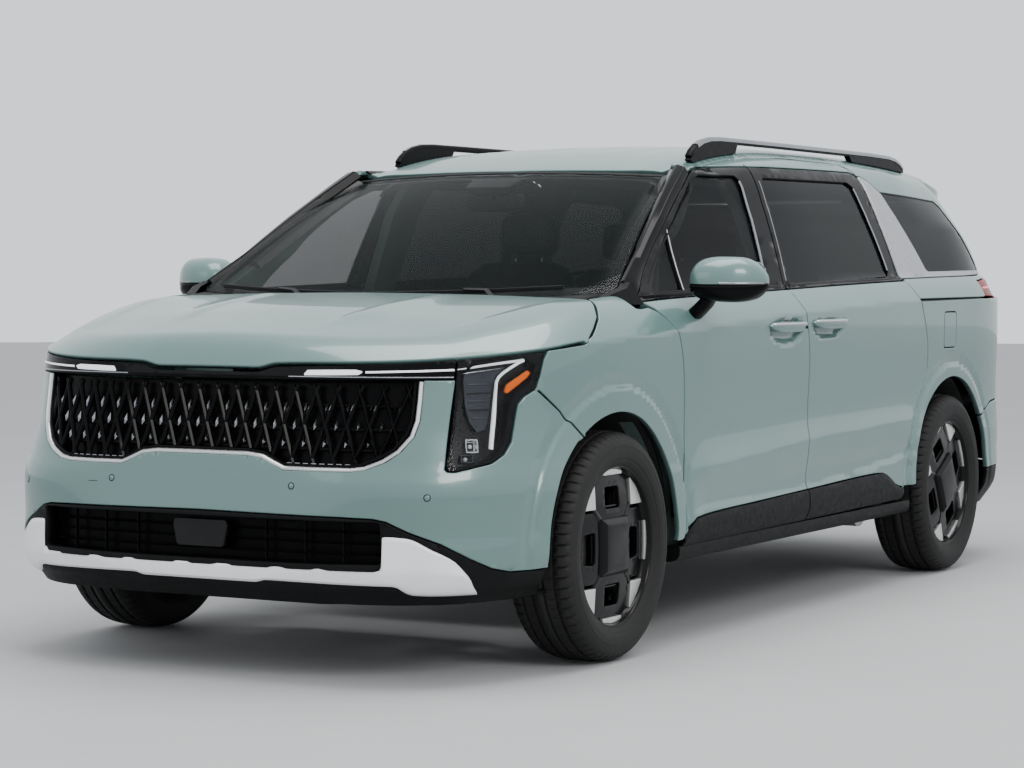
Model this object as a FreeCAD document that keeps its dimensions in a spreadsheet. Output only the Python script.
import FreeCAD, Part
import os
import math

# ---------------------------------------------------------------- body curves
def tab(x, pts):
    """Smooth curve through (x, y) points, flat beyond its ends."""
    if x <= pts[0][0]:
        return pts[0][1]
    if x >= pts[-1][0]:
        return pts[-1][1]
    n = len(pts)
    i = 0
    while x > pts[i + 1][0]:
        i += 1
    def slope(k):
        if k <= 0:
            return (pts[1][1] - pts[0][1]) / (pts[1][0] - pts[0][0])
        if k >= n - 1:
            return (pts[-1][1] - pts[-2][1]) / (pts[-1][0] - pts[-2][0])
        h0, h1 = pts[k][0] - pts[k - 1][0], pts[k + 1][0] - pts[k][0]
        d0, d1 = (pts[k][1] - pts[k - 1][1]) / h0, (pts[k + 1][1] - pts[k][1]) / h1
        if d0 * d1 <= 0:
            return 0.0
        w0, w1 = 2 * h1 + h0, h1 + 2 * h0
        return (w0 + w1) / (w0 / d0 + w1 / d1)
    x0, y0 = pts[i]
    x1, y1 = pts[i + 1]
    h = x1 - x0
    t = (x - x0) / h
    m0, m1 = slope(i) * h, slope(i + 1) * h
    t2, t3 = t * t, t * t * t
    return (2 * t3 - 3 * t2 + 1) * y0 + (t3 - 2 * t2 + t) * m0 + (3 * t2 - 2 * t3) * y1 + (t3 - t2) * m1

AXF, AXR, TRK, RW = 1.6425, -1.4475, 0.870, 0.370     # axle stations, half track, tyre radius
NP = 3.4                                               # plan curve exponent
T_NF = [(0.20, 4.10), (0.58, 4.10), (0.68, 3.85), (0.78, 3.60), (0.93, 3.45), (1.10, 3.40)]   # the same at the nose, against height
XCF, XCR = 1.30, -1.60                                 # where the plan curve starts to turn in
ARF, ARR = 0.425, 0.445                                # wheel arch radii

T_XF = [(0.18, 2.500), (0.24, 2.545), (0.30, 2.5700), (0.38, 2.5775), (0.48, 2.5770), (0.60, 2.566), (0.75, 2.550), (0.90, 2.532), (0.94, 2.526), (1.02, 2.50), (1.2, 2.42)]
T_XR = [(0.18, 2.440), (0.26, 2.510), (0.34, 2.550), (0.44, 2.5700), (0.54, 2.5775), (0.64, 2.5750), (0.72, 2.560), (0.80, 2.548), (0.95, 2.540), (1.05, 2.535), (1.15, 2.525), (1.27, 2.490), (1.40, 2.420), (1.50, 2.345), (1.60, 2.255), (1.66, 2.20), (1.75, 2.12)]
T_W = [(0.20, 0.900), (0.26, 0.935), (0.30, 0.962), (0.34, 0.980), (0.40, 0.985), (0.48, 0.982), (0.56, 0.982), (0.62, 0.979), (0.70, 0.977), (0.80, 0.980), (0.90, 0.985), (0.98, 0.988), (1.15, 0.990)]
T_ZC = [(-2.30, 1.142), (-1.15, 1.134), (0.10, 1.100), (1.22, 1.051), (1.83, 1.023), (2.04, 1.006), (2.20, 0.996)]
T_EY = [(0.00, 0.946), (0.30, 0.948), (0.65, 0.958), (0.80, 0.974), (0.90, 0.992), (0.94, 1.006)]
T_G = [(1.10, 0.945), (1.14, 0.932), (1.18, 0.920), (1.24, 0.904), (1.30, 0.886), (1.40, 0.850), (1.50, 0.808), (1.60, 0.757), (1.66, 0.718), (1.72, 0.66)]
T_ZR = [(-2.40, 1.630), (-2.20, 1.672), (-2.00, 1.700), (-1.60, 1.727), (-1.20, 1.741), (-0.80, 1.746), (-0.40, 1.744), (-0.10, 1.734), (0.10, 1.719), (0.30, 1.693), (0.45, 1.662), (0.60, 1.620), (0.80, 1.53)]
T_TU = [(0.02, 0.52), (0.036, 0.60), (0.053, 0.655), (0.075, 0.693), (0.10, 0.722), (0.13, 0.746), (0.20, 0.79), (0.30, 0.85), (0.5, 0.95), (0.8, 1.1)]
T_TC = [(1.20, 1.205), (1.40, 1.190), (1.50, 1.183), (1.70, 1.168), (1.90, 1.150), (2.10, 1.125), (2.30, 1.085), (2.43, 1.056), (2.526, 1.036)]

def xf(z): return tab(z, T_XF)
def xr(z): return tab(z, T_XR)
def zc(x): return tab(x, T_ZC)
def zroof(x): return tab(x, T_ZR)
def nf(z): return tab(z, T_NF)

def plan(x, z):
    """Share of the half width left at station x, from the plan curve of that height."""
    if x > XCF:
        t = (x - XCF) / (xf(z) - XCF)
        n = nf(z)
        return max(0.0, 1 - t ** n) ** (1 / n) if t < 1 else 0.0
    if x < XCR:
        t = (XCR - x) / (xr(z) + XCR)
        return max(0.0, 1 - t ** NP) ** (1 / NP) if t < 1 else 0.0
    return 1.0

SHD, SHR = 0.120, 0.170
def shoulder(s):
    """How far the shoulder has come in at height s above the crease."""
    t = min(max(s / SHD, 0.0), 0.999)
    return SHR * (1 - (1 - t) ** 0.4)

def section(x, z):
    """Half width of the body's cross-section, before the plan curve."""
    c = zc(x)
    if z <= c:
        return tab(z, T_W)
    w = tab(c, T_W) - shoulder(z - c)
    u = x + 0.3
    taper = 1 - (u * u * (0.018 + 0.075 * max(0.0, z - 1.18) / 0.42) if u > 0 else 0.0)
    g = tab(z, T_G) * taper
    w = max(w, g)
    return min(w, tab(zroof(min(x, 0.35)) - z, T_TU))

def side(x, z):
    return section(x, z) * plan(x, z)

def front(y, z):
    w = section(XCF, z)
    t = min(abs(y) / w, 0.9995)
    n = nf(z)
    return XCF + (xf(z) - XCF) * (1 - t ** n) ** (1 / n)

def rear(y, z):
    w = section(XCR, z)
    t = min(abs(y) / w, 0.9995)
    return XCR - (xr(z) + XCR) * (1 - t ** NP) ** (1 / NP)

def edge_z(x, y):
    """Height of the crease that runs round the nose at the hood's edge."""
    zs = zc(x)
    ze = tab(abs(y), T_EY)
    t = min(max((x - 1.90) / 0.30, 0.0), 1.0)
    t = t * t * (3 - 2 * t)
    return zs + (ze - zs) * t if abs(y) < 0.94 or x > 2.04 else zs

def hood_top(x, y):
    """Height of the hood's skin."""
    e = edge_z(x, y)
    b = tab(zc(x), T_W)
    af = xf(0.945) - XCF
    tx = max(0.0, (x - XCF) / af)
    q = tx ** NP + (abs(y) / b) ** NP
    rho = q ** (1 / NP)
    wf = (tx ** NP) / q if q > 0 else 0.0
    R = SHR - 0.06 * wf
    d = (1 - rho) * (b + (af - b) * wf)
    s = min(max((x - 1.6) / 0.7, 0.0), 1.0)
    T = tab(x, T_TC) - (0.028 + 0.07 * s * s * (3 - 2 * s)) * y * y
    if d >= R:
        return T
    phi = (1 - max(d, 0.0) / R) ** 2.5
    return T - (T - e) * phi

def roof_top(x, y):
    return zroof(x) - 0.022 * (y / 0.6) ** 2 - 0.10 * min(1.2, max(0.0, (abs(y) - 0.5) / 0.25)) ** 3

# shut lines, x against z, and edges, z against x
T_XA = [(0.20, 1.175), (0.32, 1.172), (0.42, 1.165), (0.55, 1.161), (0.75, 1.164), (0.90, 1.180), (1.00, 1.207), (1.048, 1.232), (1.10, 1.272), (1.14, 1.318)]
T_XB = [(0.20, 0.110), (0.50, 0.104), (0.75, 0.100), (0.90, 0.102), (1.00, 0.115), (1.10, 0.143), (1.18, 0.162), (1.30, 0.150), (1.64, 0.104), (1.72, 0.095)]
T_XC = [(0.30, -0.870), (0.40, -0.875), (0.45, -0.889), (0.55, -0.935), (0.65, -0.998), (0.72, -1.052), (0.774, -1.098), (0.82, -1.130), (0.87, -1.144), (0.95, -1.138), (1.01, -1.118), (1.134, -1.055), (1.235, -1.018), (1.64, -0.945)]
T_ZT = [(-2.2, 1.600), (-1.6, 1.637), (-1.0, 1.650), (0.0, 1.640), (0.30, 1.632), (0.56, 1.612), (0.8, 1.50)]
T_ZB = [(-2.10, 1.232), (-1.0, 1.214), (0.40, 1.178), (1.30, 1.150), (1.42, 1.142)]
T_ZD = [(-0.9, 0.338), (0.0, 0.330), (1.2, 0.322)]
T_ZK = [(-0.90, 0.388), (-0.81, 0.399), (-0.74, 0.432), (-0.66, 0.458), (-0.57, 0.461), (0.0, 0.450), (0.55, 0.436), (1.05, 0.420), (1.10, 0.410), (1.178, 0.352)]
def xa(z): return tab(z, T_XA)
def xb(z): return tab(z, T_XB)
def xcd(z): return tab(z, T_XC)
def zt(x): return tab(x, T_ZT)
def zb(x): return tab(x, T_ZB)
def zd(x): return tab(x, T_ZD)
def zk(x): return tab(x, T_ZK)

# ---------------------------------------------------------------- document and driving dimensions
doc = FreeCAD.newDocument("minivan")
V = FreeCAD.Vector
sheet = doc.addObject("Spreadsheet::Sheet", "Sizes")
CELLS = [
    ("body_length", 5155), ("body_width", 1995), ("wheelbase", 3090), ("front_axle_x", 1642.5), ("rear_axle_x", -1447.5),
    ("half_track", 870), ("tyre_radius", 370), ("tyre_width", 235), ("rim_radius", 254), ("rim_seat_radius", 241), ("rim_width", 205),
    ("disc_radius", 160), ("disc_thick", 28), ("hub_bore_radius", 32.06), ("stub_radius", 32), ("kingpin_y", 745),
    ("engine_len", 620), ("engine_wide", 560), ("engine_tall", 520), ("seat_width", 520), ("bench_width", 1180),
    ("tank_len", 620), ("tank_wide", 560), ("tank_tall", 130), ("muffler_len", 420), ("muffler_radius", 95),
    ("steer_wheel_radius", 185), ("steer_rim_radius", 14), ("door_gap", 5), ("skin", 20),
]
for i, (alias, val) in enumerate(CELLS):
    sheet.set("A%d" % (i + 1), alias)
    sheet.set("B%d" % (i + 1), str(val))
    sheet.setAlias("B%d" % (i + 1), alias)
doc.recompute()
S = dict(CELLS)
NODES = {}          # name -> object whose Shape is exported


def mm(p):
    return V(p[0] * 1000, p[1] * 1000, p[2] * 1000)


def grid(fn, us, vs):
    return [[mm(fn(u, v)) for v in vs] for u in us]


def sheet_face(fn, us, vs):
    s = Part.BSplineSurface()
    s.interpolate(grid(fn, us, vs))
    return s


def slab(outer, inner, us, vs):
    """A closed solid between two skins, ruled along its four edges."""
    a, b = sheet_face(outer, us, vs), sheet_face(inner, us, vs)
    fa, fb = a.toShape(), b.toShape()
    u0, u1, v0, v1 = a.bounds()
    p0, p1, q0, q1 = b.bounds()
    faces = [fa, fb]
    for ca, cb in ((a.uIso(u0), b.uIso(p0)), (a.uIso(u1), b.uIso(p1)), (a.vIso(v0), b.vIso(q0)), (a.vIso(v1), b.vIso(q1))):
        faces.append(Part.makeRuledSurface(ca.toShape(), cb.toShape()))
    sh = Part.Shell(faces)
    sh.sewShape()
    so = Part.Solid(sh)
    if so.Volume < 0:
        so.reverse()
    return so


def frange(a, b, n):
    return [a + (b - a) * i / n for i in range(n + 1)]


def wire(segs, plane, at):
    """A closed wire from runs of points. A run of two points is straight, a longer one is a smooth curve."""
    put = {"xz": lambda p: V(p[0] * 1000, at * 1000, p[1] * 1000), "yz": lambda p: V(at * 1000, p[0] * 1000, p[1] * 1000), "xy": lambda p: V(p[0] * 1000, p[1] * 1000, at * 1000)}[plane]
    edges, first, last = [], None, None
    for run in segs:
        pts = [put(p) for p in run]
        if last is not None and (pts[0] - last).Length > 1e-4:
            edges.append(Part.LineSegment(last, pts[0]).toShape())
        if first is None:
            first = pts[0]
        if len(pts) == 2:
            edges.append(Part.LineSegment(pts[0], pts[1]).toShape())
        elif len(pts) > 2:
            c = Part.BSplineCurve()
            c.interpolate(pts)
            edges.append(c.toShape())
        last = pts[-1]
    if (last - first).Length > 1e-4:
        edges.append(Part.LineSegment(last, first).toShape())
    return Part.Wire(edges)


def poly(points):
    return [[points[i], points[(i + 1) % len(points)]] for i in range(len(points))]


def prism(segs, plane, a, b):
    f = Part.Face(wire(segs, plane, a))
    d = (b - a) * 1000
    return f.extrude({"xz": V(0, d, 0), "yz": V(d, 0, 0), "xy": V(0, 0, d)}[plane])


def mirror_y(s):
    return s.mirror(V(0, 0, 0), V(0, 1, 0))


def biggest(s, keep=1):
    so = sorted(s.Solids, key=lambda q: -q.Volume)[:keep]
    return so[0] if keep == 1 else Part.makeCompound(so)


def feature(name, shape, node=True):
    o = doc.addObject("Part::Feature", name)
    o.Shape = shape
    o.Label = name
    if node:
        NODES[name] = o
    return o


def both(name, left):
    """A node that holds the left piece and its mirror image."""
    feature(name, Part.makeCompound([left, mirror_y(left)]))


def cyl(x, y0, y1, z, r):
    return Part.makeCylinder(r * 1000, (y1 - y0) * 1000, V(x * 1000, y0 * 1000, z * 1000), V(0, 1, 0))


def box(x0, x1, y0, y1, z0, z1):
    return Part.makeBox((x1 - x0) * 1000, (y1 - y0) * 1000, (z1 - z0) * 1000, V(x0 * 1000, y0 * 1000, z0 * 1000))


# ---------------------------------------------------------------- side of the body: doors, fender, quarter panel
def door_thick(z):
    return tab(z, [(1.06, 0.070), (1.20, 0.042), (1.60, 0.038)])


def side_pt(off):
    def f(x, z):
        t = off(z) if callable(off) else off
        return (x, side(x, z) - t, z)
    return f


ZS = [0.285, 0.33, 0.38, 0.45, 0.55, 0.65, 0.75, 0.85, 0.94, 1.01, 1.06, 1.10, 1.14, 1.18, 1.23, 1.30, 1.38, 1.46, 1.54, 1.60, 1.64, 1.672]


def side_slab(x0, x1, z0, z1, t0, t1, nx=16):
    zs = [z0] + [z for z in ZS if z0 + 0.012 < z < z1 - 0.012] + [z1]
    return slab(side_pt(t0), side_pt(t1), frange(x0, x1, nx), zs)


G = 0.0025          # half of the 5 mm shut gap
GL_IN = 0.012       # glass lies this far inside the skin


def run_x(fx, z0, z1, dx, n=10):
    return [(fx(z) + dx, z) for z in frange(z0, z1, n)]


def run_z(fz, x0, x1, dz, n=8):
    return [(x, fz(x) + dz) for x in frange(x0, x1, n)]


def pillar_line(x, dz=0.0):
    """Outer edge of the front door's frame along the windscreen pillar."""
    return tab(x, [(0.56, 1.612), (0.80, 1.483), (1.05, 1.338), (1.25, 1.212), (1.345, 1.150)]) + dz


# front door
fd = [
    run_x(xa, zd(1.17) + G, 1.125, -G, 14),
    [(1.3375, 1.1500), (1.3375, 1.1501)],
    [(x, pillar_line(x) - G) for x in frange(1.3375, 0.60, 8)],
    [(x, zt(x) - G) for x in frange(0.54, 0.12, 6)],
    [(xb(z) + G, z) for z in frange(1.632, zd(0.11) + G, 18)],
]
fd_slab = side_slab(0.02, 1.40, 0.30, 1.66, 0.0, door_thick)
fd_solid = biggest(fd_slab.common(prism(fd, "xz", 0.3, 1.2)))
FG = [(1.235, 1.163), (0.965, 1.360), (0.60, 1.575), (0.53, 1.592), (0.26, 1.598), (0.232, 1.575), (0.305, 1.205), (0.32, 1.190)]
fd_win = prism(poly(FG), "xz", 0.3, 1.2)
fd_solid = biggest(fd_solid.cut(fd_win))
glass_slab = side_slab(0.02, 1.40, 1.10, 1.66, GL_IN, GL_IN + 0.005)
FGI = [(1.225, 1.167), (0.960, 1.356), (0.598, 1.570), (0.53, 1.588), (0.264, 1.594), (0.237, 1.575), (0.309, 1.206), (0.322, 1.194)]
fd_glass = biggest(glass_slab.common(prism(poly(FGI), "xz", 0.3, 1.2)))

# sliding door
SDT = 1.688
sd = [
    [(xb(z) - G, z) for z in frange(zd(0.1) + G, SDT - 0.01, 18)],
    [(0.085, SDT), (-0.80, SDT - 0.006)],
    [(-0.86, SDT - 0.014), (xcd(1.64) + G, 1.645)],
    [(xcd(z) + G, z) for z in frange(1.62, zd(-0.87) + G, 26)],
]
sd_slab = side_slab(-1.20, 0.20, 0.30, 1.71, 0.0, door_thick)
sd_solid = biggest(sd_slab.common(prism(sd, "xz", 0.3, 1.2)))
SG = [(0.112, 1.205), (0.060, 1.575), (0.030, 1.598), (-0.80, 1.606), (-0.845, 1.585), (-0.925, 1.250), (-0.905, 1.232)]
sd_solid = biggest(sd_solid.cut(prism(poly(SG), "xz", 0.3, 1.2)))
SGI = [(0.108, 1.209), (0.056, 1.573), (0.028, 1.594), (-0.798, 1.602), (-0.841, 1.583), (-0.920, 1.252), (-0.903, 1.236)]
sg_slab = side_slab(-1.20, 0.20, 1.15, 1.66, GL_IN, GL_IN + 0.005)
sd_glass = biggest(sg_slab.common(prism(poly(SGI), "xz", 0.3, 1.2)))

# front fender
T_XH = [(1.023, 1.842), (1.06, 1.818), (1.10, 1.775), (1.14, 1.705), (1.165, 1.640)]
fe = [
    [(1.190, 0.352), (1.175, 0.352)],
    [(xa(z) + G, z) for z in frange(0.36, 1.125, 14)],
    [(1.345 + G, 1.146), (1.42, 1.142)],
    [(1.47, 1.140), (1.66, 1.136)],
    [(tab(z, T_XH) - G, z) for z in frange(1.13, 1.03, 5)],
    [(x, zc(x) - 0.012) for x in frange(1.84, 2.03, 5)],
    [(2.085, 0.893), (1.855, 0.729)],
    [(1.80, 0.70), (1.80, 0.352)],
]
fe_slab = slab(side_pt(0.0), side_pt(0.018), frange(1.10, 2.10, 14), [0.33, 0.38, 0.45, 0.55, 0.65, 0.75, 0.85, 0.94, 0.99, 1.03, 1.06, 1.09, 1.12, 1.15])
fe_solid = fe_slab.common(prism(fe, "xz", 0.3, 1.2)).cut(cyl(1.65, 0.3, 1.2, 0.375, ARF))
fe_solid = biggest(fe_solid)
both("front_fenders", fe_solid)


# quarter panel with the rear pillar, up to the roof panel's edge
YR = 0.655                                # the roof panel ends at this half width
def z_edge(x):
    lo, hi = 1.4, zroof(min(x, 0.35)) - 0.001
    for _ in range(40):
        m = (lo + hi) / 2
        if section(x, m) * plan(x, m) > YR:
            lo = m
        else:
            hi = m
    return lo


YT = [(0.64, 0.800), (0.72, 0.800), (1.20, 0.790), (1.40, 0.745), (1.60, 0.640), (1.75, 0.560)]   # tailgate's side shut line, half width against height
def tg_y(z): return tab(z, YT)
def tg_x(z):
    lo, hi = -2.56, -1.7
    for _ in range(40):
        m = (lo + hi) / 2
        if side(m, z) < tg_y(z) + G:
            lo = m
        else:
            hi = m
    return lo


def q_pt(t):
    """Skin of the quarter panel: v runs up, u runs from the door's shut line round the corner to the tailgate."""
    def f(u, z):
        x0, x1 = -0.82, tg_x(z) if z > 0.66 else tg_x(0.66)
        x = x0 + (x1 - x0) * u
        y = side(x, z)
        e = 0.002
        dx = (side(x + e, z) - side(x - e, z)) / (2 * e)
        n = math.sqrt(1 + dx * dx)
        th = t(z) if callable(t) else t
        return (x + th * dx / n, y - th / n, z)
    return f


QZ = [0.36, 0.42, 0.50, 0.58, 0.66, 0.75, 0.85, 0.94, 1.02, 1.08, 1.12, 1.15, 1.19, 1.24, 1.30, 1.38, 1.46, 1.54, 1.60]
QU = [0, .08, .16, .24, .32, .40, .48, .56, .62, .68, .74, .79, .84, .88, .92, .96, 1.0]
q_slab = slab(q_pt(0), q_pt(lambda z: tab(z, [(1.08, 0.065), (1.25, 0.048)])), QU, QZ)
qp = [
    [(xcd(z) - G, z) for z in frange(0.392, 1.599, 26)],
    [(-0.98, 1.6), (-3.0, 1.6)],
    [(-3.0, 1.5), (-3.0, 0.705)],
    [(-2.0, 0.690), (-1.84, 0.640)],
    [(-1.80, 0.60), (-1.45, 0.60)],
    [(-1.45, 0.45), (-1.45, 0.392)],
]
q_solid = q_slab.common(prism(qp, "xz", 0.3, 1.2)).cut(cyl(AXR, 0.3, 1.2, 0.37, ARR))
QG = [(-1.115, 1.565), (-1.80, 1.545), (-1.845, 1.525), (-2.06, 1.285), (-2.055, 1.262), (-1.375, 1.252), (-1.345, 1.265)]
q_solid = q_solid.cut(prism(poly(QG), "xz", 0.3, 1.2))
FLAP = (-1.40, 1.010, 0.075, 0.078)       # fuel flap: centre x, z, half width, half height
gate_side = [(tg_y(z) + G, z) for z in (0.62, 0.72, 0.90, 1.05, 1.20, 1.30, 1.40, 1.50, 1.60, 1.75)]
gate_room = prism([gate_side, [(tg_y(1.75) + G, 1.75), (0.0, 1.75)], [(0.0, 1.75), (0.0, 0.62)], [(0.0, 0.62), (tg_y(0.62) + G, 0.62)]], "yz", -3.0, -1.98)
q_solid = biggest(q_solid.cut(gate_room))
q_left = biggest(q_solid.cut(box(FLAP[0] - FLAP[2], FLAP[0] + FLAP[2], 0.6, 1.2, FLAP[1] - FLAP[3], FLAP[1] + FLAP[3])))
q_right = mirror_y(biggest(q_solid))
feature("quarter_panels", Part.makeCompound([q_left, q_right]))
QGI = [(-1.120, 1.561), (-1.80, 1.541), (-1.841, 1.523), (-2.055, 1.286), (-2.051, 1.266), (-1.375, 1.256), (-1.349, 1.268)]
qg = slab(side_pt(0.010), side_pt(0.015), frange(-2.12, -1.05, 14), [1.22, 1.28, 1.34, 1.40, 1.46, 1.52, 1.58])
qg_solid = biggest(qg.common(prism(poly(QGI), "xz", 0.3, 1.2)))

# fuel flap, hinged along its front edge
g = 0.005
fl = side_slab(-1.60, -1.20, 0.85, 1.11, 0.0, 0.012, 6)
flap = biggest(fl.common(prism(poly([(FLAP[0] - FLAP[2] + g, FLAP[1] - FLAP[3] + g), (FLAP[0] + FLAP[2] - g, FLAP[1] - FLAP[3] + g), (FLAP[0] + FLAP[2] - g, FLAP[1] + FLAP[3] - g), (FLAP[0] - FLAP[2] + g, FLAP[1] + FLAP[3] - g)]), "xz", 0.3, 1.2)))
feature("fuel_flap", flap)

feature("front_door_left", fd_solid)
feature("front_door_right", mirror_y(fd_solid))
feature("front_door_glass_left", fd_glass)
feature("front_door_glass_right", mirror_y(fd_glass))
both("sliding_doors", sd_solid)
feature("side_glass", Part.makeCompound([sd_glass, mirror_y(sd_glass), qg_solid, mirror_y(qg_solid)]))


# inner side frame: sill, pillars and cant rail round the door openings
def fr_in(z): return door_thick(z) + 0.008
def fr_out(z): return door_thick(z) + tab(z, [(0.34, 0.075), (0.5, 0.060), (1.1, 0.060), (1.25, 0.050)])
fr = side_slab(-1.24, 1.46, 0.30, 1.640, fr_in, fr_out, 22)
fr_out_line = [
    [(1.44, 0.302), (1.44, 1.12)],
    [(1.40, 1.135), (0.60, 1.565)],
    [(0.50, 1.590), (0.36, 1.600)],
    [(0.30, 1.606), (-1.20, 1.610)],
    [(-1.22, 1.60), (-1.22, 0.86)],
    [(-1.10, 0.86), (-0.86, 0.60)],
    [(-0.86, 0.55), (-0.86, 0.302)],
]
f_open = [(1.115, 0.405), (1.115, 0.98), (1.165, 1.085), (0.98, 1.275), (0.60, 1.515), (0.50, 1.555), (0.235, 1.568), (0.225, 1.20), (0.185, 0.98), (0.185, 0.405)]
s_open = [(0.025, 0.405), (0.025, 1.10), (0.055, 1.20), (0.015, 1.575), (-0.86, 1.580), (-0.93, 1.25), (-1.03, 1.00), (-1.03, 0.86), (-0.93, 0.70), (-0.82, 0.55), (-0.79, 0.405)]
side_frame = fr.common(prism(fr_out_line, "xz", 0.3, 1.2)).cut(prism(poly(f_open), "xz", 0.3, 1.2)).cut(prism(poly(s_open), "xz", 0.3, 1.2))
side_frame = side_frame.cut(cyl(1.65, 0.3, 1.2, 0.375, 0.455)).cut(box(1.14, 1.47, 0.80, 1.2, 0.985, 1.215))
side_frame = biggest(side_frame.cut(q_left))
both("body_side_frames", side_frame)

# windscreen pillars: three-sided bars from the cowl to the roof
def pil(x):
    zl = pillar_line(x) + G + 0.0005
    yo = side(x, zl)
    wz = tab(x, [(0.60, 1.600), (1.40, 1.172)]) + 0.012
    wy = tab(x, [(0.60, 0.672), (1.40, 0.842)])
    return [(x, yo, zl), (x, yo - 0.012, zl + 0.028), (x, wy, max(wz, zl + 0.036)), (x, wy - 0.030, max(wz, zl + 0.036) - 0.030), (x, yo - 0.040, zl)]


pw = []
for x in (0.635, 0.82, 1.02, 1.22, 1.335):
    pts = [mm(p) for p in pil(x)]
    pw.append(Part.makePolygon(pts + [pts[0]]))
pillar = Part.makeLoft(pw, True, True)


# ---------------------------------------------------------------- roof
def roof_pt(t):
    def f(x, v):
        y = v * YR
        z = roof_top(x, y) if abs(y) < 0.60 else None
        za = roof_top(x, 0.60)
        zb_ = z_edge(x)
        if z is None:
            k = (abs(y) - 0.60) / (YR - 0.60)
            z = za + (zb_ - za) * k
        return (x, y, z - t)
    return f


RV = [-1, -0.93, -0.86, -0.76, -0.6, -0.4, -0.2, 0, 0.2, 0.4, 0.6, 0.76, 0.86, 0.93, 1]
r_slab = slab(roof_pt(0), roof_pt(0.022), frange(-2.20, 0.66, 18), RV)
T_WT = [(0.0, 0.612), (0.40, 0.590), (0.655, 0.545)]        # front edge of the roof, x against half width
T_RT = [(0.0, -2.165), (0.40, -2.150), (0.58, -2.120), (0.655, -2.085)]     # rear edge at the tailgate
rp = [[(tab(abs(y), T_WT), y) for y in frange(-0.655, 0.655, 12)], [(tab(abs(y), T_RT) + G, y) for y in frange(0.655, -0.655, 12)]]
roof = biggest(r_slab.common(prism(rp, "xy", 1.3, 1.9)))
door_room = side_slab(0.02, 0.64, 1.45, 1.655, -0.03, lambda z: door_thick(z) + 0.007, 8)
door_room = door_room.common(prism([[(x, zt(x) + 0.004) for x in frange(0.64, 0.04, 8)], [(0.04, zt(0.04) + 0.004), (0.04, 1.46)], [(0.04, 1.46), (0.64, 1.46)], [(0.64, 1.46), (0.64, zt(0.64) + 0.004)]], "xz", 0.3, 1.2))
roof = biggest(roof.cut(door_room).cut(mirror_y(door_room)))
feature("roof_panel", roof)
q_left = biggest(q_left.cut(roof))
q_solid = biggest(q_solid.cut(roof))
NODES["quarter_panels"].Shape = Part.makeCompound([q_left, mirror_y(q_solid)])
side_frame = biggest(side_frame.cut(roof))
NODES["body_side_frames"].Shape = Part.makeCompound([side_frame, mirror_y(side_frame)])
sd_solid = biggest(sd_solid.cut(roof))
NODES["sliding_doors"].Shape = Part.makeCompound([sd_solid, mirror_y(sd_solid)])

# cant rails above the quarter glass
def cant_pt(t):
    def f(x, v):
        za, ze = 1.602, z_edge(x) - 0.0245
        z = za + (max(ze, za + 0.01) - za) * v
        return (x, side(x, z) - t, z)
    return f
cant = slab(cant_pt(0), cant_pt(0.036), frange(-1.90, -0.955, 12), frange(0, 1, 4))
upper = [pillar, cant]
feature("upper_frames", Part.makeCompound(upper + [mirror_y(q) for q in upper]))


# windscreen
def ws_pt(t):
    def f(u, v):
        k = u * u
        y = u * (0.832 + (0.655 - 0.832) * v)
        x0, z0 = 1.585 - 0.205 * k, 1.150 + 0.026 * k
        x1, z1 = 0.628 - 0.045 * k, 1.613 - 0.022 * k
        b = 4 * v * (1 - v) * 0.028
        return (x0 + (x1 - x0) * v + b * 0.4 - t * 0.42, y, z0 + (z1 - z0) * v + b - t * 0.9)
    return f


feature("windscreen", biggest(slab(ws_pt(0), ws_pt(0.006), frange(-1, 1, 12), frange(0.0, 0.985, 8)).cut(pillar).cut(mirror_y(pillar))))


# ---------------------------------------------------------------- hood
# the hood is a slab over its plan outline, cut to the shut line
def hood_map(t):
    """Hood skin in polar form about (XCF, 0), so that it follows the nose."""
    def f(a, k):
        ang = a
        c, s_ = math.cos(ang), math.sin(ang)
        cn, sn = max(abs(c), 1e-6), max(abs(s_), 1e-6)
        b = 0.985
        af = xf(0.945) - XCF
        r = (cn ** NP + sn ** NP) ** (-1 / NP)
        x = XCF + (af * r * c) * k
        y = (b * r * s_) * k
        # inside the skin's edge
        return (x, y, hood_top(x, y) - t * tab(k, [(0.90, 1.0), (0.97, 0.45), (0.998, 0.25)]))
    return f


def hood_skin(t):
    ang = [math.radians(a) for a in (-62, -54, -48, -43, -38, -32, -24, -16, -8, 0, 8, 16, 24, 32, 38, 43, 48, 54, 62)]
    ks = [0.16, 0.30, 0.45, 0.58, 0.68, 0.76, 0.82, 0.87, 0.91, 0.945, 0.97, 0.987, 0.998]
    return hood_map(t), ang, ks


hm0, ha, hk = hood_skin(0)
hm1, _, _ = hood_skin(0.022)
h_slab = slab(hm0, hm1, ha, hk)
h_out = [
    [(1.600, -0.80), (1.612, -0.50), (1.618, 0.0), (1.612, 0.50), (1.600, 0.80)],
    [(1.640 + G, 0.885), (1.700 + G, 0.927), (1.77 + G, 0.950), (1.845 + G, 1.1)],
    [(2.7, 1.1), (2.7, -1.1)],
    [(1.845 + G, -1.1), (1.77 + G, -0.950), (1.700 + G, -0.927), (1.640 + G, -0.885)],
]
hood = biggest(h_slab.common(prism(h_out, "xy", 0.7, 1.4)))
feature("hood", hood)


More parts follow.
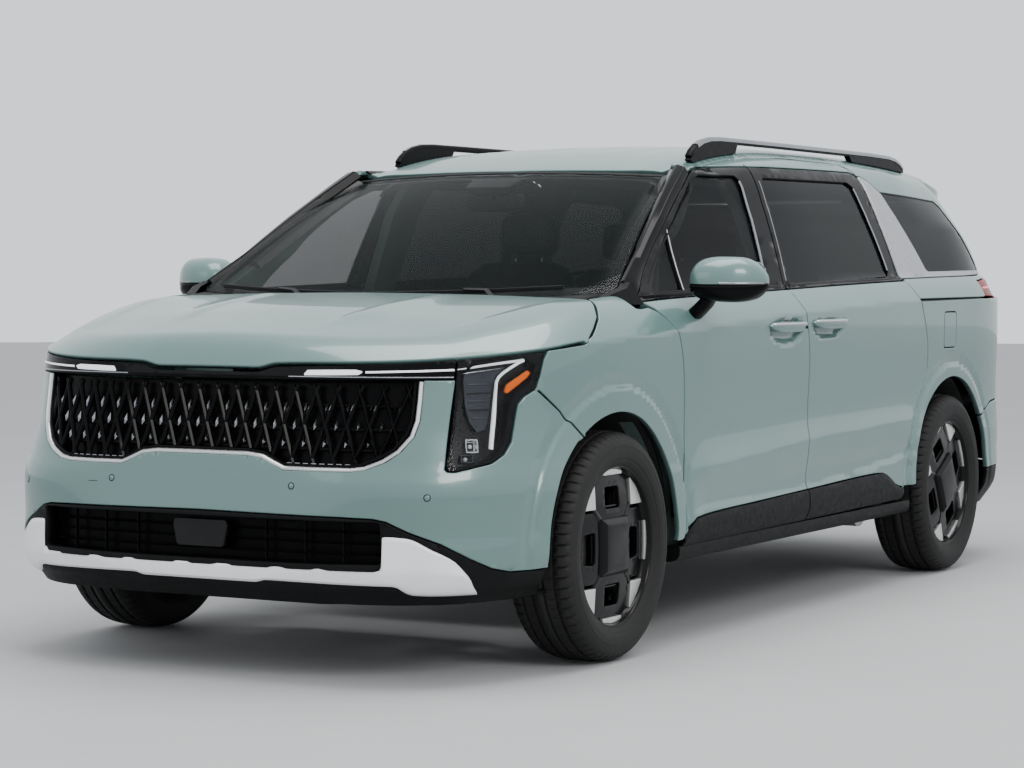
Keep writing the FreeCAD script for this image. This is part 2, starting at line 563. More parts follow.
# ---------------------------------------------------------------- nose: bumper, grille, lamps
def ring(x_c, xend, sgn, t, power):
    """Skin that runs round a corner in plan: a is the angle from straight ahead, z the height."""
    def f(a, z):
        w = section(x_c, min(z, 1.0))
        L = abs(xend(z) * sgn - x_c)
        k = power(z)
        c, s_ = abs(math.cos(a)), abs(math.sin(a))
        r = (c ** k + s_ ** k) ** (-1 / k)
        X, Y = L * r * c, w * r * s_
        gx, gy = (X / L) ** (k - 1) / L, (Y / w) ** (k - 1) / w
        n = math.hypot(gx, gy)
        X, Y = X - t * gx / n, Y - t * gy / n
        return (x_c + sgn * X, Y if a >= 0 else -Y, z)
    return f


def nose(t): return ring(XCF, xf, 1, t, nf)
def tail(t): return ring(XCR, xr, -1, t, lambda z: NP)


RA = [math.radians(a) for a in (-76, -68, -60, -54, -49, -45, -41, -36, -30, -22, -11, 0, 11, 22, 30, 36, 41, 45, 49, 54, 60, 68, 76)]
BZ = [0.205, 0.25, 0.30, 0.36, 0.42, 0.50, 0.58, 0.66, 0.75, 0.84, 0.92, 0.985]
n_slab = slab(nose(0.0), nose(0.030), RA, BZ)
GR = [(0.700, 0.918), (0.700, 0.770), (0.672, 0.705), (0.615, 0.668), (0.545, 0.652), (0.300, 0.652), (0.232, 0.690), (0.0, 0.690)]
GR = GR + [(-y, z) for y, z in reversed(GR[:-1])]
IN = [(0.615, 0.500), (0.615, 0.385), (-0.615, 0.385), (-0.615, 0.500)]
HL = [(0.781, 0.930), (0.781, 0.648), (0.868, 0.676), (0.880, 0.700), (0.890, 0.845), (0.922, 0.893), (0.945, 1.03), (0.70, 1.03), (0.70, 0.930)]
top_cut = [(0.78, 1.1), (0.78, 0.918), (-0.78, 0.918), (-0.78, 1.1)]
fb = n_slab
for tool in (prism(poly(GR), "yz", 2.2, 2.7), prism(poly(IN), "yz", 2.2, 2.7), prism(poly(top_cut), "yz", 2.0, 2.7)):
    fb = fb.cut(tool)
hl_tool = prism(poly(HL), "yz", 1.9, 2.7)
fb = fb.cut(hl_tool).cut(mirror_y(hl_tool))
fend = prism(poly([(2.0885, 0.8885), (1.8585, 0.7245), (1.70, 0.62), (1.2, 0.62), (1.2, 1.2), (2.045, 1.2)]), "xz", 0.6, 1.1)
archl = cyl(1.65, 0.55, 1.2, 0.375, ARF)
fb = fb.cut(fend).cut(mirror_y(fend)).cut(archl).cut(mirror_y(archl)).cut(box(1.0, 1.72, -1.2, 1.2, 0.1, 1.2))
fb = biggest(fb)
feature("front_bumper", fb)

# headlamps, with the clear cover set 2 mm inside the skin
HLI = [(0.7835, 0.9495), (0.7835, 0.6515), (0.866, 0.679), (0.8775, 0.701), (0.8875, 0.8465), (0.9195, 0.8945), (0.932, 0.985), (0.90, 0.977), (0.80, 0.957), (0.78, 0.9495)]
l_slab = slab(nose(0.002), nose(0.070), [math.radians(a) for a in (32, 36, 40, 44, 48, 52, 57, 62, 68)], [0.60, 0.68, 0.76, 0.84, 0.92, 1.0])
lamp = biggest(l_slab.common(prism(poly(HLI), "yz", 1.9, 2.7)).cut(prism(poly([(2.0885, 0.8885), (1.8585, 0.7245), (1.2, 0.6), (1.2, 1.2), (2.045, 1.2)]), "xz", 0.6, 1.1)))

# grille with the light bar above it
GRI = [(0.6975, 0.9155), (0.6975, 0.771), (0.670, 0.7075), (0.614, 0.6705), (0.545, 0.6545), (0.301, 0.6545), (0.233, 0.6925), (0.0, 0.6925)]
GRI = GRI + [(-y, z) for y, z in reversed(GRI[:-1])]
g_slab = slab(nose(0.016), nose(0.030), [math.radians(a) for a in frange(-44, 44, 20)], [0.62, 0.70, 0.78, 0.86, 0.94])
grille = biggest(g_slab.common(prism(poly(GRI), "yz", 2.2, 2.7)))
bar_slab = slab(nose(0.003), nose(0.050), [math.radians(a) for a in frange(-48, 48, 20)], [0.91, 0.93, 0.95, 0.97])
bar = biggest(bar_slab.common(prism(poly([(0.778, 0.919), (0.778, 0.949), (0.65, 0.938), (0.30, 0.932), (0.24, 0.924), (-0.24, 0.924), (-0.30, 0.932), (-0.65, 0.938), (-0.778, 0.949), (-0.778, 0.919)]), "yz", 2.2, 2.7)))
feature("front_lamps", Part.makeCompound([lamp, mirror_y(lamp), bar]))
i_slab = slab(nose(0.022), nose(0.040), [math.radians(a) for a in frange(-40, 40, 16)], [0.36, 0.42, 0.48, 0.53])
intake = biggest(i_slab.common(prism(poly([(0.6125, 0.4975), (0.6125, 0.3875), (-0.6125, 0.3875), (-0.6125, 0.4975)]), "yz", 2.2, 2.7)))
feature("grilles", Part.makeCompound([grille, intake]))

# ---------------------------------------------------------------- tail: bumper, tailgate, lamps
TA = [math.radians(a) for a in (-80, -72, -64, -57, -51, -46, -42, -37, -30, -22, -11, 0, 11, 22, 30, 37, 42, 46, 51, 57, 64, 72, 80)]
TZ = [0.235, 0.29, 0.34, 0.40, 0.46, 0.54, 0.62, 0.70, 0.74]
t_slab = slab(tail(0.0), tail(0.030), TA, TZ)
rb = t_slab
arch_r = cyl(AXR, 0.5, 1.2, 0.37, ARR)
qtop = prism(poly([(-1.0, 0.635), (-1.84, 0.635), (-2.0, 0.685), (-3.0, 0.700), (-3.0, 1.2), (-1.0, 1.2)]), "xz", 0.796, 1.2)
ttop = prism(poly([(0.8035, 1.2), (0.8035, 0.642), (-0.8035, 0.642), (-0.8035, 1.2)]), "yz", -2.8, -1.5)
rb = rb.cut(arch_r).cut(mirror_y(arch_r)).cut(qtop).cut(mirror_y(qtop)).cut(ttop).cut(box(-1.86, -1.0, -1.2, 1.2, 0.1, 1.2))
# number plate pad with its four screw holes
rb = biggest(rb.cut(box(-2.7, -2.500, -0.275, 0.275, 0.380, 0.540)))
plate_pad = box(-2.556, -2.536, -0.2745, 0.2745, 0.3805, 0.5395)
for sy in (-1, 1):
    for sz in (-1, 1):
        plate_pad = plate_pad.cut(Part.makeCylinder(3.0, 60, V(-2580, sy * 88.9, 460 + sz * 60.325), V(1, 0, 0)))
feature("rear_bumper", rb)
feature("number_plate_holder", plate_pad)


# tailgate: skin from the lower edge to the hinge line, with the spoiler
def tg_pt(t):
    def f(v, z):
        w = tg_y(z) - G
        y = v * w
        x = rear(y, z)
        e = 0.002
        d = (rear(min(abs(y) + e, w), z) - rear(abs(y), z)) / max(min(abs(y) + e, w) - abs(y), 1e-6)
        dz = (rear(y, z + 0.01) - rear(y, z - 0.01)) / 0.02
        n = math.sqrt(1 + d * d + dz * dz)
        return (x + t / n, y + (0 if t == 0 else (-1 if y > 0 else 1) * t * d / n * (1 if abs(y) > 0.01 else 0)), z - t * dz / n)
    return f


TV = [-1, -0.95, -0.88, -0.78, -0.65, -0.45, -0.22, 0, 0.22, 0.45, 0.65, 0.78, 0.88, 0.95, 1]
tz_ = [0.66, 0.72, 0.80, 0.90, 1.0, 1.08, 1.14, 1.20, 1.27, 1.34, 1.40, 1.46, 1.52, 1.575]
tg = slab(tg_pt(0), tg_pt(0.050), TV, tz_)
TW = [(0.66, 1.235), (0.68, 1.255), (0.615, 1.475), (0.585, 1.50), (-0.585, 1.50), (-0.615, 1.475), (-0.68, 1.255), (-0.66, 1.235)]
tg = biggest(tg.cut(prism(poly(TW), "yz", -2.8, -1.9)))
TWI = [(0.656, 1.239), (0.675, 1.257), (0.611, 1.473), (0.583, 1.496), (-0.583, 1.496), (-0.611, 1.473), (-0.675, 1.257), (-0.656, 1.239)]
tgg = slab(tg_pt(0.008), tg_pt(0.013), TV, [1.20, 1.27, 1.34, 1.40, 1.46, 1.53])
tg_glass = biggest(tgg.common(prism(poly(TWI), "yz", -2.8, -1.9)))
# roof end and spoiler, one piece over the glass
def sp_top(x, y):
    return roof_top(max(x, -2.2), y) + (tab(x, [(-2.42, -0.038), (-2.2, 0.0)]) if x < -2.2 else 0.0)
def sp_pt(low):
    def f(x, v):
        y = v * tab(x, [(-2.42, 0.560), (-2.30, 0.590), (-2.17, 0.600), (-2.10, 0.604)])
        z = sp_top(x, y)
        if low:
            z = z - tab(x, [(-2.42, 0.014), (-2.36, 0.040), (-2.25, 0.085), (-2.12, 0.075)])
        return (x, y, z)
    return f
spo = slab(sp_pt(False), sp_pt(True), frange(-2.415, -2.08, 8), [-1, -0.9, -0.75, -0.5, -0.25, 0, 0.25, 0.5, 0.75, 0.9, 1])
sp_out = [[(tab(abs(y), T_RT) - G, y) for y in frange(-0.655, 0.655, 12)], [(-2.6, 0.655), (-2.6, -0.655)]]
spo = biggest(spo.common(prism(sp_out, "xy", 1.3, 1.9)))
tg_all = tg.fuse(spo)
print("tailgate pieces", len(tg_all.Solids))
tailgate = biggest(tg_all)
feature("tailgate", tailgate)
feature("tailgate_glass", tg_glass.cut(spo) if tg_glass.common(spo).Volume > 1 else tg_glass)


# ---------------------------------------------------------------- lamps and mirrors
TLP = [(-1.865, 1.146), (-1.885, 1.216), (-2.9, 1.236), (-2.9, 0.80), (-2.30, 0.80), (-2.25, 1.09), (-2.20, 1.143)]
tl_tool = prism(poly(TLP), "xz", 0.3, 1.2)
TLI = [(-1.868, 1.148), (-1.887, 1.214), (-2.9, 1.234), (-2.9, 0.802), (-2.3025, 0.802), (-2.2525, 1.0905), (-2.2015, 1.1455)]
tail_slab = slab(q_pt(0.001), q_pt(0.030), [0.60, .66, .70, .74, .79, .84, .88, .92, .96, 0.999], [0.78, 0.85, 0.94, 1.02, 1.08, 1.12, 1.15, 1.19, 1.24])
tail_lamp = biggest(tail_slab.common(prism(poly(TLI), "xz", 0.3, 1.2)))
tail_lamp = biggest(tail_lamp.cut(gate_room))
q_left = biggest(q_left.cut(tl_tool))
q_right = mirror_y(biggest(q_solid.cut(tl_tool)))
NODES["quarter_panels"].Shape = Part.makeCompound([q_left, q_right])
both("tail_lamps", tail_lamp)
bar_cut = slab(tg_pt(-0.008), tg_pt(0.020), TV, [1.12, 1.15, 1.19, 1.225]).common(prism(poly([(0.9, 1.146), (0.9, 1.206), (-0.9, 1.206), (-0.9, 1.146)]), "yz", -2.8, -2.0))
bar_in = slab(tg_pt(0.001), tg_pt(0.013), [0.982 * v for v in TV], [1.12, 1.15, 1.19, 1.225]).common(prism(poly([(0.9, 1.149), (0.9, 1.203), (-0.9, 1.203), (-0.9, 1.149)]), "yz", -2.8, -2.0))
NODES["tailgate"].Shape = biggest(tailgate.cut(bar_cut))
feature("tailgate_light_bar", biggest(bar_in))

mo = [(1.118, 0.985), (1.122, 1.04), (1.105, 1.12), (1.062, 1.175), (1.005, 1.200), (0.972, 1.196), (0.958, 1.17), (0.975, 0.985)]
mb = prism(poly(mo), "xy", 1.146, 1.298)
try:
    top = [e for e in mb.Edges if abs(e.BoundBox.ZMax - e.BoundBox.ZMin) < 1e-3]
    mb = mb.makeFillet(18, top)
except Exception:
    pass
stalk = prism(poly([(0.90, 1.078), (0.90, 1.128), (1.03, 1.152), (1.09, 1.152), (1.02, 1.120), (0.955, 1.085)]), "yz", 0.985, 1.080)
mirror = biggest(mb.fuse(stalk).cut(fd_solid).cut(box(0.8, 1.3, 0.5, 0.90, 1.0, 1.3)))
feature("door_mirror_left", mirror)
feature("door_mirror_right", mirror_y(mirror))

# roof rails
rail = prism(poly([(0.345, 1.728), (0.30, 1.750), (-1.60, 1.752), (-1.70, 1.722), (-1.70, 1.60), (-1.58, 1.60), (-1.56, 1.728), (-0.70, 1.732), (-0.68, 1.60), (-0.60, 1.60), (-0.58, 1.732), (0.20, 1.730), (0.235, 1.60), (0.455, 1.60), (0.455, 1.69)]), "xz", 0.600, 0.636)
rail = rail.cut(slab(roof_pt(-0.0005), roof_pt(0.30), frange(-2.0, 0.60, 12), RV))
both("roof_rails", biggest(rail.cut(roof).cut(cant)))


# ---------------------------------------------------------------- floor, bulkheads, cabin
def part(kind, name, binds, at=(0, 0, 0), rot=None):
    o = doc.addObject(kind, name)
    o.Label = name
    for prop, expr in binds.items():
        o.setExpression(prop, expr)
    o.Placement = FreeCAD.Placement(V(*[c * 1000 for c in at]), rot or FreeCAD.Rotation())
    return o


floor = box(-2.40, 1.14, -0.814, 0.814, 0.300, 0.330)
for sy in (1, -1):
    floor = floor.cut(cyl(AXR, *(sorted((sy * 0.66, sy * 1.0))), 0.37, 0.470))
floor = floor.cut(cyl(AXF, -1, 1, 0.37, 0.470))
tunnel = box(-0.9, 1.13, -0.15, 0.15, 0.330, 0.360)
floor = floor.fuse(tunnel)
for jx in (0.60, -0.75):
    for jy in (0.70, -0.70):
        floor = floor.fuse(box(jx - 0.045, jx + 0.045, jy - 0.030, jy + 0.030, 0.286, 0.300))
floor = biggest(floor.cut(rb))
feature("floor_pan", floor)
fire = box(1.105, 1.125, -0.80, 0.80, 0.361, 1.120)
feature("bulkhead", fire)
cowl = slab(lambda u, v: (1.395 + 0.215 * v, u * 0.80, 1.150 - 0.035 * v - 0.02 * u * u), lambda u, v: (1.395 + 0.215 * v, u * 0.80, 1.130 - 0.035 * v - 0.02 * u * u), frange(-1, 1, 6), frange(0, 1, 3))
cowl = cowl.cut(slab(ws_pt(-0.05), ws_pt(0.012), frange(-1, 1, 10), frange(-0.3, 0.985, 8)))
feature("cowl", biggest(cowl))
dash_pts = [(1.104, 0.80), (1.104, 1.085), (1.04, 1.10), (0.90, 1.085), (0.845, 1.03), (0.85, 0.94), (0.90, 0.80), (0.93, 0.70), (1.00, 0.66), (1.104, 0.66)]
dash = prism(poly(dash_pts), "xz", -0.80, 0.80)
dash = dash.cut(prism(poly([(1.085, 0.80), (1.085, 1.05), (0.92, 1.055), (0.885, 1.01), (0.90, 0.92), (0.97, 0.72), (1.085, 0.69)]), "xz", -0.77, 0.77))
console = box(0.33, 0.928, -0.103, 0.103, 0.364, 0.700)
dash = dash.cut(console)
feature("dashboard", biggest(dash))
feature("centre_console", biggest(console.cut(box(0.36, 0.90, -0.085, 0.085, 0.38, 0.68))))
# steering wheel: a rim with a boss and three spokes on a raked column
rim = part("Part::Torus", "steer_rim", {"Radius1": "Sizes.steer_wheel_radius", "Radius2": "Sizes.steer_rim_radius"})
boss = part("Part::Cylinder", "steer_boss", {"Radius": "Sizes.steer_rim_radius * 4", "Height": "Sizes.steer_rim_radius * 3"}, (0, 0, -0.030))
sp1 = part("Part::Box", "steer_spoke_across", {"Length": "Sizes.steer_wheel_radius * 2", "Width": "Sizes.steer_rim_radius * 3", "Height": "Sizes.steer_rim_radius"}, (-0.185, -0.021, -0.015))
sp2 = part("Part::Box", "steer_spoke_down", {"Length": "Sizes.steer_rim_radius * 3", "Width": "Sizes.steer_wheel_radius", "Height": "Sizes.steer_rim_radius"}, (-0.021, -0.185, -0.015))
col = part("Part::Cylinder", "steer_column", {"Radius": "Sizes.steer_rim_radius * 1.8", "Height": "Sizes.steer_wheel_radius * 0.62"}, (0, 0, -0.140))
sw = doc.addObject("Part::MultiFuse", "steering_wheel")
sw.Shapes = [rim, boss, sp1, sp2, col]
sw.Label = "steering_wheel"
NODES["steering_wheel"] = sw
# wheel's own +Z points back and up at the driver, own +Y up
zx = V(-0.906, 0, 0.4226)
yx = V(0.4226, 0, 0.906)
xx = yx.cross(zx)
sw.Placement = FreeCAD.Placement(V(710, 370, 985), FreeCAD.Rotation(xx, yx, zx, "ZXY"))


def seat(x, y, z, w, tall=0.60, head=True, back=0.26):
    """Seat as side outlines: cushion, back with its rake, and head restraint."""
    hw = w / 2
    cush = prism(poly([(x - 0.02, z), (x + 0.50, z + 0.03), (x + 0.54, z + 0.10), (x + 0.50, z + 0.15), (x + 0.10, z + 0.115), (x - 0.02, z + 0.11)]), "xz", y - hw, y + hw)
    bk = prism(poly([(x + 0.03, z + 0.06), (x + 0.10, z + 0.20), (x + 0.085 - back * 0.6, z + 0.1 + tall * 0.75), (x + 0.03 - back, z + 0.1 + tall), (x - 0.06 - back, z + 0.08 + tall), (x - 0.09, z + 0.05)]), "xz", y - hw + 0.01, y + hw - 0.01)
    s = cush.fuse(bk)
    if head:
        hx, hz = x - 0.015 - back, z + 0.1 + tall
        for o in ([0.0] if w < 0.7 else [-w / 3, 0.0, w / 3]):
            s = s.fuse(prism(poly([(hx + 0.04, hz + 0.02), (hx + 0.03, hz + 0.17), (hx - 0.03, hz + 0.18), (hx - 0.065, hz + 0.12), (hx - 0.055, hz + 0.02)]), "xz", y + o - 0.125, y + o + 0.125))
            for k in (-0.06, 0.06):
                s = s.fuse(box(hx - 0.016, hx - 0.004, y + o + k - 0.006, y + o + k + 0.006, hz - 0.05, hz + 0.04))
    s = s.fuse(box(x + 0.02, x + 0.42, y - hw + 0.06, y + hw - 0.06, 0.3605 if abs(y) < 0.2 else 0.3305, z + 0.05))
    return biggest(s)


both("front_seats", seat(0.05, 0.37, 0.60, 0.52))
both("second_row_seats", seat(-0.92, 0.40, 0.58, 0.50))
feature("third_row_bench", seat(-1.78, 0.0, 0.60, 1.16, 0.56, True, 0.20))

# rear wall below the tailgate
rw = box(-2.435, -2.405, -0.60, 0.60, 0.305, 0.630)
feature("rear_crossmember", rw)

# ---------------------------------------------------------------- wheel housings
def housing(ax, sy, y0, y1, rr, x_cut=None):
    a, b = sorted((sy * y0, sy * y1))
    o = cyl(ax, a, b, 0.37, rr + 0.008).cut(cyl(ax, a - 0.01, b + 0.01, 0.37, rr))
    inner = sorted((sy * y0, sy * (y0 + 0.008)))
    o = o.fuse(cyl(ax, inner[0], inner[1], 0.37, rr + 0.001))
    o = o.cut(box(ax - 1, ax + 1, -1.2, 1.2, 0.0, 0.30))
    return o


lf = housing(AXF, 1, 0.500, 0.925, 0.455)
lf = lf.cut(Part.makeCylinder(45, 200, V(1642.5, 650, 750), V(0, 0, 1)))
lr = housing(AXR, 1, 0.690, 0.915, 0.455)
lr = lr.cut(box(AXR - 0.12, AXR + 0.12, 0.6, 0.71, 0.0, 0.47))
lr = lr.cut(q_left).cut(side_frame).cut(rb)
lf = lf.cut(fe_solid).cut(side_frame).cut(fb)
lf, lr = biggest(lf), biggest(lr)
feature("wheel_housings", Part.makeCompound([lf, mirror_y(lf), lr, mirror_y(lr)]))

# ---------------------------------------------------------------- engine, tank, silencer
eng = part("Part::Box", "engine_block", {"Length": "Sizes.engine_len", "Width": "Sizes.engine_wide", "Height": "Sizes.engine_tall"}, (1.36, -0.28, 0.42))
NODES["engine_block"] = eng
muf = part("Part::Cylinder", "muffler", {"Radius": "Sizes.muffler_radius", "Height": "Sizes.muffler_len"}, (-2.13, -0.12, 0.195), FreeCAD.Rotation(V(1, 0, 0), -90))
NODES["muffler"] = muf

# fuel tank: a padded sketch
tank = doc.addObject("PartDesign::Body", "fuel_tank")
sk = tank.newObject("Sketcher::SketchObject", "tank_outline")
sk.AttachmentSupport = [([f for f in tank.Origin.OriginFeatures if f.Role == "XY_Plane"][0], "")]
sk.MapMode = "FlatFace"
sk.addGeometry([Part.LineSegment(V(0, 0, 0), V(620, 0, 0)), Part.LineSegment(V(620, 0, 0), V(620, 560, 0)), Part.LineSegment(V(620, 560, 0), V(0, 560, 0)), Part.LineSegment(V(0, 560, 0), V(0, 0, 0))], False)
import Sketcher
C = Sketcher.Constraint
sk.addConstraint([C("Coincident", 0, 2, 1, 1), C("Coincident", 1, 2, 2, 1), C("Coincident", 2, 2, 3, 1), C("Coincident", 3, 2, 0, 1), C("Horizontal", 0), C("Horizontal", 2), C("Vertical", 1), C("Vertical", 3), C("Coincident", 0, 1, -1, 1)])
i1 = sk.addConstraint(C("DistanceX", 0, 1, 0, 2, 620.0))
i2 = sk.addConstraint(C("DistanceY", 1, 1, 1, 2, 560.0))
sk.setExpression("Constraints[%d]" % i1, "Sizes.tank_len")
sk.setExpression("Constraints[%d]" % i2, "Sizes.tank_wide")
pad = tank.newObject("PartDesign::Pad", "tank_depth")
pad.Profile = sk
pad.setExpression("Length", "Sizes.tank_tall")
doc.recompute()
fil = tank.newObject("PartDesign::Fillet", "tank_rounds")
fil.Base = (pad, ["Edge%d" % (i + 1) for i in range(12)])
fil.Radius = 30
tank.Placement = FreeCAD.Placement(V(-700, -280, 168), FreeCAD.Rotation())
tank.Label = "fuel_tank"
NODES["fuel_tank"] = tank

# ---------------------------------------------------------------- suspension
KY, ZA = S["kingpin_y"] / 1000, 0.37
sub = box(1.40, 1.90, -0.36, 0.36, 0.200, 0.250).cut(box(1.50, 1.80, -0.28, 0.28, 0.1, 0.3))
arm = prism(poly([(1.40, 0.345), (1.90, 0.345), (1.6925, 0.66), (1.6825, KY + 0.03), (1.6025, KY + 0.03), (1.5925, 0.66)]), "xy", 0.195, 0.225)
arm = arm.cut(prism(poly([(1.49, 0.40), (1.80, 0.40), (1.660, 0.62), (1.625, 0.62)]), "xy", 0.1, 0.3))
pin_l = Part.makeCylinder(14, 80, V(1642.5, KY * 1000, 220), V(0, 0, 1))
uarm = box(1.6175, 1.6675, 0.63, KY + 0.025, 0.512, 0.540)
pin_u = Part.makeCylinder(14, 80, V(1642.5, KY * 1000, 440), V(0, 0, 1))
strut = Part.makeCylinder(27, 330, V(1642.5, 655, 514), V(0, 0, 1))
tower = box(1.60, 1.685, 0.45, 0.495, 0.24, 0.88)
tower = tower.fuse(box(1.60, 1.685, 0.345, 0.495, 0.20, 0.26)).fuse(box(1.60, 1.685, 0.45, 0.70, 0.838, 0.88))
half = arm.fuse(pin_l).fuse(uarm).fuse(pin_u).fuse(strut).fuse(tower)
cross = sub.fuse(half).fuse(mirror_y(half))
cross = cross.cut(lf).cut(mirror_y(lf))
print("crossmember pieces", [round(q.Volume / 1000) for q in cross.Solids])
feature("front_crossmember", biggest(cross))

post = Part.makeCylinder(28, 270, V(1642.5, KY * 1000, 235), V(0, 0, 1))
post = post.cut(Part.makeCylinder(14.05, 71, V(1642.5, KY * 1000, 234), V(0, 0, 1))).cut(Part.makeCylinder(14.05, 71, V(1642.5, KY * 1000, 435), V(0, 0, 1)))
stub = cyl(AXF, KY, 0.926, ZA, 0.032)
brk = box(AXF - 0.150, AXF - 0.0, KY - 0.02, KY + 0.02, 0.335, 0.405)
cal = box(AXF - 0.195, AXF - 0.125, KY - 0.02, 0.895, 0.300, 0.440).cut(cyl(AXF, 0.8195, 0.8585, ZA, 0.1655)).cut(cyl(AXF, 0.8585, 0.95, ZA, 0.110))
knuckle = post.fuse(stub).fuse(brk).fuse(cal)
knuckle = knuckle.cut(Part.makeCylinder(14.05, 71, V(1642.5, KY * 1000, 234), V(0, 0, 1))).cut(Part.makeCylinder(14.05, 71, V(1642.5, KY * 1000, 435), V(0, 0, 1)))
print("knuckle pieces", len(knuckle.Solids))
knuckle = biggest(knuckle)
feature("front_knuckle_left", knuckle)
feature("front_knuckle_right", mirror_y(knuckle))

beam = box(AXR - 0.04, AXR + 0.04, -0.72, 0.72, 0.215, 0.285)
rk = box(AXR - 0.05, AXR + 0.05, 0.70, 0.765, 0.24, 0.44)
rst = cyl(AXR, 0.74, 0.926, ZA, 0.032)
rcal = box(AXR + 0.125, AXR + 0.195, 0.725, 0.895, 0.300, 0.440).cut(cyl(AXR, 0.8195, 0.8585, ZA, 0.1655)).cut(cyl(AXR, 0.8585, 0.95, ZA, 0.110))
rbr = box(AXR, AXR + 0.150, 0.725, 0.765, 0.335, 0.405)
tra = prism(poly([(AXR - 0.04, 0.215), (AXR - 0.04, 0.285), (AXR + 0.04, 0.285), (-0.86, 0.299), (-0.86, 0.245)]), "xz", 0.56, 0.62)
spring = Part.makeCylinder(45, 13, V(-1447.5, 520, 284), V(0, 0, 1))
rhalf = rk.fuse(rst).fuse(rcal).fuse(rbr).fuse(tra).fuse(spring)
raxle = beam.fuse(rhalf).fuse(mirror_y(rhalf))
print("rear axle pieces", len(raxle.Solids))
feature("rear_axle", biggest(raxle.cut(lr).cut(mirror_y(lr)).cut(floor)))

# ---------------------------------------------------------------- wheels: a revolved rim, hub and disc, with windows cut in a ring
wb = doc.addObject("PartDesign::Body", "wheel_master")
ws = wb.newObject("Sketcher::SketchObject", "wheel_profile")
ws.AttachmentSupport = [([f for f in wb.Origin.OriginFeatures if f.Role == "XZ_Plane"][0], "")]
ws.MapMode = "FlatFace"
# sketch x is the radius, sketch y the way out of the car
WP = [(254, 102), (254, 96), (241, 88), (241, -88), (254, -96), (254, -102), (246, -102), (233, -91), (233, 46), (150, 30), (80, 26), (80, -17), (160, -17), (160, -45), (32.06, -45), (32.06, 58), (0, 58), (0, 70), (74, 70), (86, 66), (222, 78), (246, 102)]
n = len(WP)
ws.addGeometry([Part.LineSegment(V(WP[i][0], WP[i][1], 0), V(WP[(i + 1) % n][0], WP[(i + 1) % n][1], 0)) for i in range(n)], False)
ws.addConstraint([C("Coincident", i, 2, (i + 1) % n, 1) for i in range(n)])
ib = ws.addConstraint(C("DistanceX", -1, 1, 14, 2, 32.06))
ws.setExpression("Constraints[%d]" % ib, "Sizes.hub_bore_radius")
rev = wb.newObject("PartDesign::Revolution", "wheel_turned")
rev.Profile = ws
rev.ReferenceAxis = (ws, ["V_Axis"])
rev.Angle = 360
doc.recompute()
wk = wb.newObject("Sketcher::SketchObject", "wheel_window")
wk.AttachmentSupport = [([f for f in wb.Origin.OriginFeatures if f.Role == "XY_Plane"][0], "")]
wk.MapMode = "FlatFace"
WW = [(52, 100), (52, 205), (-52, 205), (-52, 100)]
c45 = math.sqrt(0.5)
WW = [((a - b) * c45, (a + b) * c45) for a, b in WW]
wk.addGeometry([Part.LineSegment(V(WW[i][0], WW[i][1], 0), V(WW[(i + 1) % 4][0], WW[(i + 1) % 4][1], 0)) for i in range(4)], False)
wk.addConstraint([C("Coincident", i, 2, (i + 1) % 4, 1) for i in range(4)])
pk = wb.newObject("PartDesign::Pocket", "wheel_window_cut")
pk.Profile = wk
pk.Type = 1
pk.Reversed = True
doc.recompute()
if abs(pk.Shape.Volume - rev.Shape.Volume) < 10:
    pk.Reversed = False
    doc.recompute()
pp = wb.newObject("PartDesign::PolarPattern", "wheel_window_ring")
pp.Originals = [pk]
pp.Axis = (ws, ["V_Axis"])
pp.Angle = 360
pp.Occurrences = 4
wb.Tip = pp
doc.recompute()
wbb = wb.Shape.BoundBox
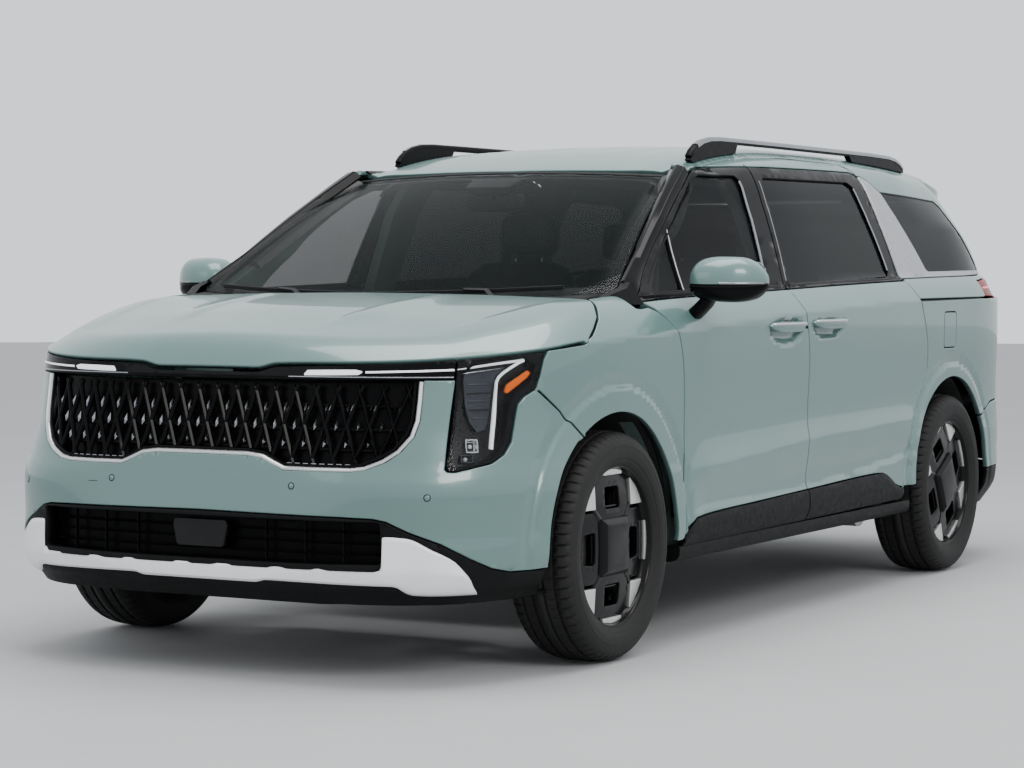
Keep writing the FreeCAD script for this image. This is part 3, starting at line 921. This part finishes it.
print("wheel master", round(rev.Shape.Volume / 1000), round(pk.Shape.Volume / 1000), round(pp.Shape.Volume / 1000), [round(v) for v in (wbb.XMin, wbb.XMax, wbb.YMin, wbb.YMax, wbb.ZMin, wbb.ZMax)])

TYP = [(241.3, 84), (254.5, 91.5), (264, 104), (285, 115.5), (303, 117.5), (335, 113), (356, 103), (366, 90), (370, 70), (370, -70), (366, -90), (356, -103), (335, -113), (303, -117.5), (285, -115.5), (264, -104), (254.5, -91.5), (241.3, -84), (241.3, -68), (256, -74), (285, -104), (305, -107), (332, -103), (348, -92), (356, -70), (356, 70), (348, 92), (332, 103), (305, 107), (285, 104), (256, 74), (241.3, 68)]
tp = [V(r, 0, h) for r, h in TYP]
tyre_master = Part.Face(Part.makePolygon(tp + [tp[0]])).revolve(V(0, 0, 0), V(0, 0, 1), 360)
out = FreeCAD.Rotation(V(1, 0, 0), -90)             # own +Z turned to +Y
for name, ax, sy, turn in (("front_left", AXF, 1, 49), ("front_right", AXF, -1, 49), ("rear_left", AXR, 1, 73), ("rear_right", AXR, -1, 73)):
    for kind, src in (("wheel", wb.Shape), ("tyre", tyre_master)):
        s = src.copy()
        s.Placement = FreeCAD.Placement()
        s.rotate(V(0, 0, 0), V(0, 0, 1), turn)
        s.rotate(V(0, 0, 0), V(1, 0, 0), -90 if sy > 0 else 90)
        s.translate(V(ax * 1000, sy * 870, 370))
        feature(kind + "_" + name, s)

# ---------------------------------------------------------------- check and write
doc.recompute()
for o in doc.Objects:
    if "Invalid" in o.State or "Error" in o.State:
        raise RuntimeError("bad object " + o.Label)
os.makedirs("parts", exist_ok=True)
bad = []
for name, o in NODES.items():
    s = o.Shape
    if s.isNull() or not s.isValid() or not s.Solids:
        bad.append(name)
        print("BAD", name, s.isNull(), s.isValid(), len(s.Solids))
        continue
    s.exportStep("parts/" + name + ".step")
    bb = s.optimalBoundingBox(False, False)
    print("%-24s solids %d  vol %8.1f cm3  x %7.0f %7.0f  y %7.0f %7.0f  z %6.0f %6.0f" % (name, len(s.Solids), s.Volume / 1000, bb.XMin, bb.XMax, bb.YMin, bb.YMax, bb.ZMin, bb.ZMax))
if bad:
    raise RuntimeError("bad shapes " + " ".join(bad))
